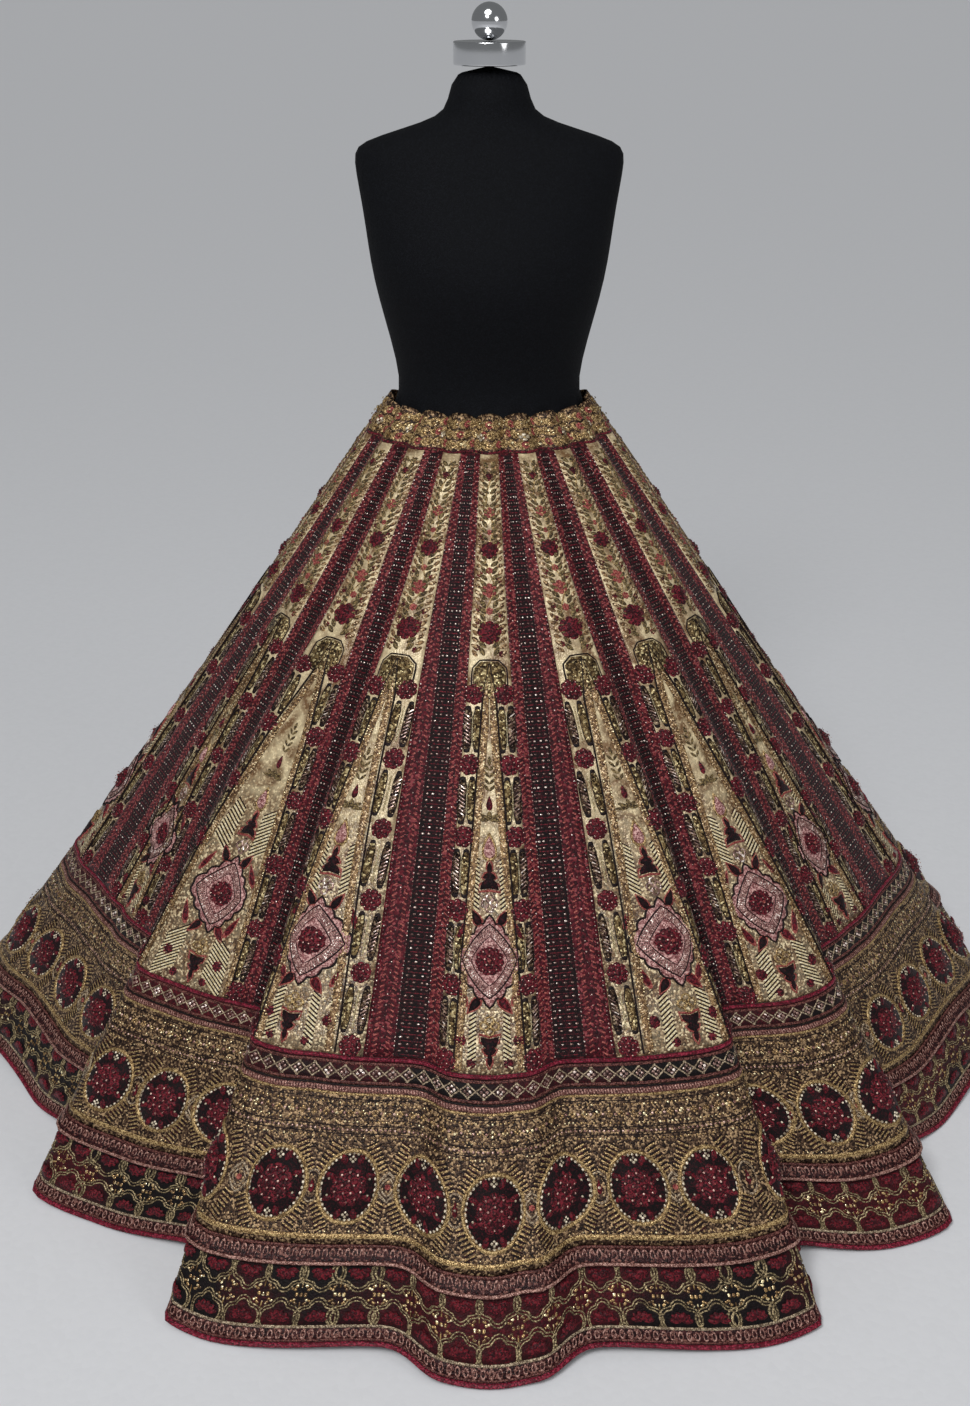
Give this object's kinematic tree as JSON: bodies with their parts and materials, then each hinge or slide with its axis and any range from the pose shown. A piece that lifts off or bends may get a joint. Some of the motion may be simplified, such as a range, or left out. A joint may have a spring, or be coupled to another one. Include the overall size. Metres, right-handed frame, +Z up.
{
  "type": "kalidar lehenga skirt on a limbless dress form",
  "caption": "Full flared lehenga skirt of gold and maroon gores with a deep border and flounce, gathered at the waist and standing on a plain dress form.",
  "frame": {"origin": "centre of the stand's base, on the floor", "axes": "+Z up, -Y towards the front of the skirt, +X towards the viewer's right"},
  "size_m": [1.6533, 1.631, 1.4526],
  "materials": {
    "gold_satin": "satin",
    "maroon_velvet": "velvet",
    "red_piping": "satin",
    "lattice": "embroidered",
    "gold_border": "embroidered",
    "pink_trim": "embroidered",
    "dark_velvet": "velvet",
    "band": "embroidered",
    "jersey": "matte",
    "chrome": "polished",
    "black_steel": "semi-gloss"
  },
  "bodies": {
    "root": {"waistband": "band", "border_piping": "red_piping", "border_lattice": "lattice", "border_gold_front": "gold_border", "border_gold_back": "gold_border", "border_trim": "pink_trim", "flounce_front": "dark_velvet", "flounce_back": "dark_velvet", "hem_trim_front": "pink_trim", "hem_trim_back": "pink_trim", "hem_piping_front": "red_piping", "hem_piping_back": "red_piping", "kali_01": "gold_satin", "kali_02": "gold_satin", "kali_03": "gold_satin", "kali_04": "gold_satin", "kali_05": "gold_satin", "kali_06": "gold_satin", "kali_07": "gold_satin", "kali_08": "gold_satin", "kali_09": "gold_satin", "kali_10": "gold_satin", "kali_11": "gold_satin", "kali_12": "gold_satin", "kali_13": "gold_satin", "kali_14": "gold_satin", "kali_15": "gold_satin", "kali_16": "gold_satin", "kali_17": "gold_satin", "kali_18": "gold_satin", "stripe_01": "maroon_velvet", "stripe_02": "maroon_velvet", "stripe_03": "maroon_velvet", "stripe_04": "maroon_velvet", "stripe_05": "maroon_velvet", "stripe_06": "maroon_velvet", "stripe_07": "maroon_velvet", "stripe_08": "maroon_velvet", "stripe_09": "maroon_velvet", "stripe_10": "maroon_velvet", "stripe_11": "maroon_velvet", "stripe_12": "maroon_velvet", "stripe_13": "maroon_velvet", "stripe_14": "maroon_velvet", "stripe_15": "maroon_velvet", "stripe_16": "maroon_velvet", "stripe_17": "maroon_velvet", "stripe_18": "maroon_velvet", "form_torso": "jersey", "neck_cap": "chrome", "finial": "chrome", "stand_pole": "black_steel", "stand_base": "black_steel"}
  },
  "joints": []
}
